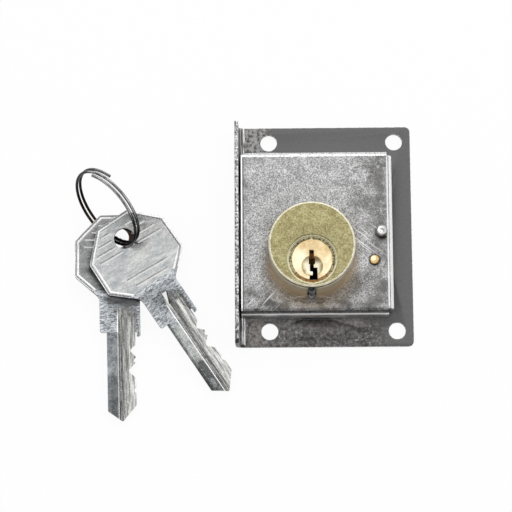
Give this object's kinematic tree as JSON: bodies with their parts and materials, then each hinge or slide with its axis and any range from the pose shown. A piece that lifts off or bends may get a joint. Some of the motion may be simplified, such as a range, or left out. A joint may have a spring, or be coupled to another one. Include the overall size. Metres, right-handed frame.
{
  "type": "sliding door cabinet lock",
  "caption": "Cabinet lock for a sliding door: flanged screw plate, folded case, pin tumbler cylinder that swings a hook bolt, and keys on a split ring.",
  "frame": {"origin": "centre of the screw hole pattern, on the back face of the plate", "axes": "+Z out of the plate along the cylinder to the keyhole, +Y up the door, -X towards the flange that the bolt leaves through"},
  "size_m": [0.0887, 0.0781, 0.0218],
  "materials": {
    "plate_steel": "dull zinc plate, streaked",
    "case_steel": "mottled zinc plate with scratches",
    "barrel_brass": "dull machined brass, worn pale at the rim",
    "plug_brass": "bright brass",
    "pin_brass": "machined brass",
    "spring_steel": "bright spring wire",
    "hook_steel": "zinc-plated, sheared edges",
    "stud_brass": "worn brass head",
    "rivet_steel": "bright dimpled head",
    "lock_pin_steel": "ribbed steel",
    "nut_steel": "zinc-plated",
    "key_nickel": "stamped nickel-plated brass, worn",
    "ring_steel": "bright nickel-plated wire"
  },
  "bodies": {
    "lock": {"back_plate": "plate_steel", "case_cover": "case_steel", "cylinder_housing": "barrel_brass", "housing_nut": "nut_steel", "chamber_cap": "pin_brass", "barrel_lock_pin": "lock_pin_steel", "detent_spring": "spring_steel", "brass_stud": "stud_brass", "case_rivet": "rivet_steel", "pin_spring_1": "spring_steel", "pin_spring_2": "spring_steel", "pin_spring_3": "spring_steel", "pin_spring_4": "spring_steel", "pin_spring_5": "spring_steel"},
    "plug": {"plug": "plug_brass", "hook_bolt": "hook_steel", "plug_clip": "spring_steel"},
    "key_pin_1": {"key_pin_1": "pin_brass"},
    "driver_pin_1": {"driver_pin_1": "pin_brass"},
    "key_pin_2": {"key_pin_2": "pin_brass"},
    "driver_pin_2": {"driver_pin_2": "pin_brass"},
    "key_pin_3": {"key_pin_3": "pin_brass"},
    "driver_pin_3": {"driver_pin_3": "pin_brass"},
    "key_pin_4": {"key_pin_4": "pin_brass"},
    "driver_pin_4": {"driver_pin_4": "pin_brass"},
    "key_pin_5": {"key_pin_5": "pin_brass"},
    "driver_pin_5": {"driver_pin_5": "pin_brass"},
    "key_rear": {"key_rear": "key_nickel"},
    "key_ring": {"key_ring": "ring_steel"},
    "key_front": {"key_front": "key_nickel"}
  },
  "joints": [
    {"name": "plug_turn", "type": "hinge", "parent": "lock", "child": "plug", "pos_m": [-0.0057, -0.01025, 0], "axis": [0, 0, 1], "range_deg": [0, 90], "deforming": ["detent_spring"]},
    {"name": "key_pin_1_slide", "type": "slide", "parent": "plug", "child": "key_pin_1", "axis": [0, 1, 0], "range_m": [-0.0011, 0]},
    {"name": "driver_pin_1_slide", "type": "slide", "parent": "lock", "child": "driver_pin_1", "axis": [0, 1, 0], "range_m": [0, 0.0012], "stiffness_N_per_m": 150, "springref_m": -0.002, "deforming": ["pin_spring_1"]},
    {"name": "key_pin_2_slide", "type": "slide", "parent": "plug", "child": "key_pin_2", "axis": [0, 1, 0], "range_m": [-0.0011, 0]},
    {"name": "driver_pin_2_slide", "type": "slide", "parent": "lock", "child": "driver_pin_2", "axis": [0, 1, 0], "range_m": [0, 0.0012], "stiffness_N_per_m": 150, "springref_m": -0.002, "deforming": ["pin_spring_2"]},
    {"name": "key_pin_3_slide", "type": "slide", "parent": "plug", "child": "key_pin_3", "axis": [0, 1, 0], "range_m": [-0.0011, 0]},
    {"name": "driver_pin_3_slide", "type": "slide", "parent": "lock", "child": "driver_pin_3", "axis": [0, 1, 0], "range_m": [0, 0.0012], "stiffness_N_per_m": 150, "springref_m": -0.002, "deforming": ["pin_spring_3"]},
    {"name": "key_pin_4_slide", "type": "slide", "parent": "plug", "child": "key_pin_4", "axis": [0, 1, 0], "range_m": [-0.0011, 0]},
    {"name": "driver_pin_4_slide", "type": "slide", "parent": "lock", "child": "driver_pin_4", "axis": [0, 1, 0], "range_m": [0, 0.0012], "stiffness_N_per_m": 150, "springref_m": -0.002, "deforming": ["pin_spring_4"]},
    {"name": "key_pin_5_slide", "type": "slide", "parent": "plug", "child": "key_pin_5", "axis": [0, 1, 0], "range_m": [-0.0011, 0]},
    {"name": "driver_pin_5_slide", "type": "slide", "parent": "lock", "child": "driver_pin_5", "axis": [0, 1, 0], "range_m": [0, 0.0012], "stiffness_N_per_m": 150, "springref_m": -0.002, "deforming": ["pin_spring_5"]},
    {"name": "keys_lift", "type": "slide", "parent": "lock", "child": "key_rear", "axis": [0, 0, 1], "range_m": [0, 0.05]},
    {"name": "ring_swing", "type": "hinge", "parent": "key_rear", "child": "key_ring", "pos_m": [-0.05859, 0.00603, 0.01074], "axis": [-0.6666, -0.6313, 0.3963], "range_deg": [0, 20]},
    {"name": "front_key_swing", "type": "hinge", "parent": "key_ring", "child": "key_front", "pos_m": [-0.05859, 0.00603, 0.01074], "axis": [-0.6666, -0.6313, 0.3963], "range_deg": [0, 25]}
  ]
}
